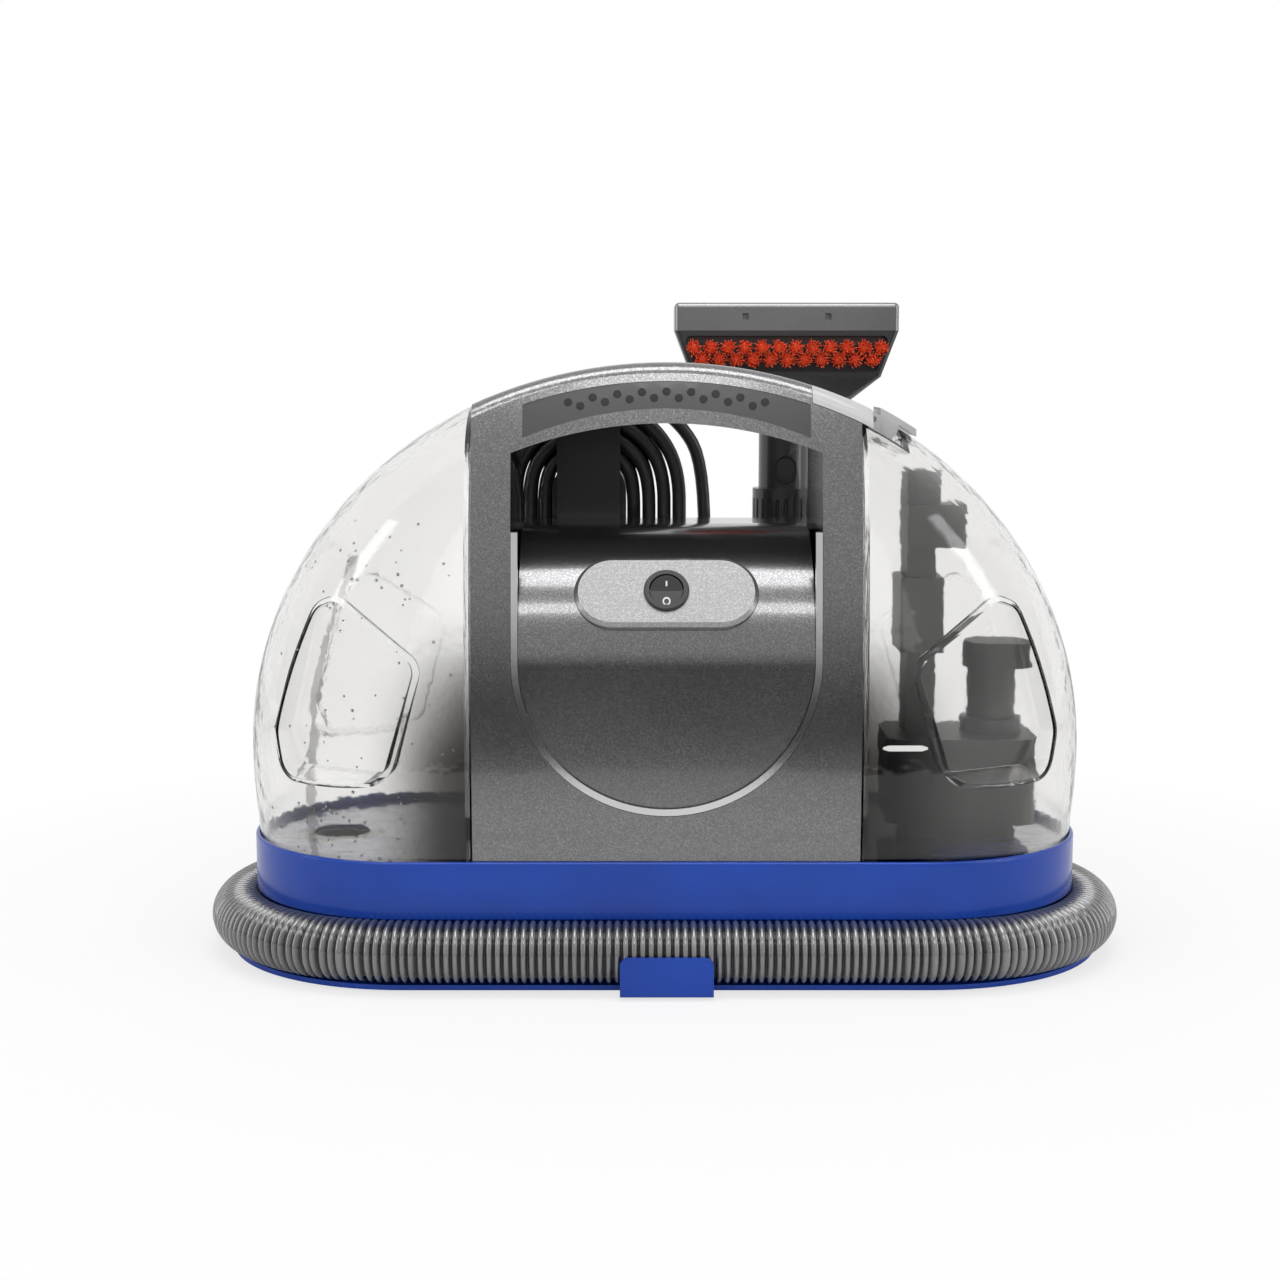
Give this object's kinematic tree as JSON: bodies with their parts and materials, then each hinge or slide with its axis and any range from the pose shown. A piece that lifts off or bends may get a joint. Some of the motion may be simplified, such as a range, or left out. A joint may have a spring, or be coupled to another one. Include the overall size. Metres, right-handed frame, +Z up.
{
  "type": "portable carpet cleaner",
  "caption": "Portable spot cleaner with a hose-wrapped base, an arched carrying tower, lift-off clear tanks, a stored spray wand with brush tool and a wound mains cord.",
  "frame": {"origin": "centre of the footprint, on the floor under the feet", "axes": "+X along the machine towards the dirty tank, -Y the front with the switch, +Z up"},
  "size_m": [0.4689, 0.2206, 0.332],
  "materials": {
    "base_blue": "glossy moulded",
    "tower_grey": "metallic flake, glossy",
    "trim_silver": "polished",
    "plate_silver": "satin",
    "soft_black": "matt",
    "black_plastic": "satin",
    "dark_grey": "satin",
    "light_grey": "satin",
    "tank_clear": "smoky clear plastic",
    "hose_grey": "glossy ribbed",
    "bristle_red": "nylon",
    "steel": "plated",
    "white_plastic": "satin",
    "seal_rubber": "matt"
  },
  "bodies": {
    "machine": {"base_shell": "base_blue", "base_plate": "black_plastic", "base_screws": "steel", "feet": "seal_rubber", "hose_clip": "base_blue", "hose_port": "black_plastic", "hose": "hose_grey", "tower_front": "tower_grey", "tower_rear": "tower_grey", "rear_screws": "steel", "handle_grip": "soft_black", "fascia": "tower_grey", "fascia_trim": "trim_silver", "switch_plate": "plate_silver", "switch_bezel": "black_plastic", "rear_housing": "dark_grey", "wand_holder": "black_plastic", "valve_well": "black_plastic", "port_seals": "seal_rubber", "wand_cuff": "black_plastic", "wand_grip": "dark_grey", "trigger_pin": "steel", "cord_post": "black_plastic", "strain_relief": "soft_black", "cord_hank": "soft_black", "plug": "soft_black", "plug_blades": "steel", "fan_housing": "black_plastic", "motor_can": "steel", "motor_stator": "steel", "motor_bearings": "steel", "pump_body": "white_plastic", "water_tube": "white_plastic"},
    "rocker": {"switch_rocker": "black_plastic"},
    "clean_tank_body": {"clean_tank": "tank_clear"},
    "cap": {"clean_cap": "black_plastic", "cap_gasket": "seal_rubber"},
    "valve": {"clean_valve": "white_plastic"},
    "dirty_tank_body": {"dirty_tank": "tank_clear", "crown_cover": "light_grey", "lid_pin": "steel", "separator_base": "dark_grey", "air_stack": "dark_grey", "inlet_pipe": "dark_grey"},
    "lid": {"pour_lid": "light_grey"},
    "float": {"float_sleeve": "dark_grey"},
    "spray_trigger": {"trigger": "black_plastic"},
    "brush_tool": {"tool_body": "dark_grey", "nozzle_lip": "dark_grey", "brush_backing": "black_plastic", "bristles": "bristle_red"},
    "button": {"latch_button": "black_plastic"},
    "hook": {"cord_hook": "black_plastic"},
    "rotor": {"impeller": "white_plastic", "motor_rotor": "steel"},
    "plunger": {"pump_plunger": "steel"}
  },
  "joints": [
    {"name": "power_rocker", "type": "hinge", "parent": "machine", "child": "rocker", "pos_m": [0, -0.07083, 0.19066], "axis": [1, 0, 0], "range_deg": [-18, 0]},
    {"name": "clean_tank_lift", "type": "slide", "parent": "machine", "child": "clean_tank_body", "axis": [0, 0, 1], "range_m": [0, 0.06]},
    {"name": "cap_turn", "type": "hinge", "parent": "clean_tank_body", "child": "cap", "pos_m": [-0.168, 0, 0.045], "axis": [0, 0, 1], "range_deg": [0, 90]},
    {"name": "valve_close", "type": "slide", "parent": "cap", "child": "valve", "axis": [0, 0, 1], "range_m": [-0.003, 0]},
    {"name": "dirty_tank_lift", "type": "slide", "parent": "machine", "child": "dirty_tank_body", "axis": [0, 0, 1], "range_m": [0, 0.042]},
    {"name": "pour_lid_hinge", "type": "hinge", "parent": "dirty_tank_body", "child": "lid", "pos_m": [0.1026, -0.006, 0.27206], "axis": [0, -1, 0], "range_deg": [0, 68]},
    {"name": "float_rise", "type": "slide", "parent": "dirty_tank_body", "child": "float", "axis": [0, 0, 1], "range_m": [0, 0.014]},
    {"name": "trigger_squeeze", "type": "hinge", "parent": "machine", "child": "spray_trigger", "pos_m": [0.067, 0.0705, 0.196], "axis": [1, 0, 0], "range_deg": [0, 10], "stiffness_Nm_per_rad": 0.4, "springref_deg": -2.86},
    {"name": "tool_pull", "type": "slide", "parent": "machine", "child": "brush_tool", "axis": [0, 0, 1], "range_m": [0, 0.045]},
    {"name": "latch_press", "type": "slide", "parent": "brush_tool", "child": "button", "axis": [0, 1, 0], "range_m": [0, 0.0012], "stiffness_N_per_m": 300, "springref_m": -0.001},
    {"name": "cord_hook_turn", "type": "hinge", "parent": "machine", "child": "hook", "pos_m": [-0.0395, 0.06, 0.232], "axis": [0, 1, 0], "range_deg": [0, 180]},
    {"name": "fan_spin", "type": "hinge", "parent": "machine", "child": "rotor", "pos_m": [-0.025, -0.018, 0.05], "axis": [0, 0, 1], "continuous": true},
    {"name": "pump_stroke", "type": "slide", "parent": "machine", "child": "plunger", "axis": [0, 0, -1], "range_m": [0, 0.003], "stiffness_N_per_m": 400, "springref_m": -0.001}
  ],
  "couplings": [
    {"joint": "valve_close", "follows": "clean_tank_lift", "ratio": -0.05}
  ]
}
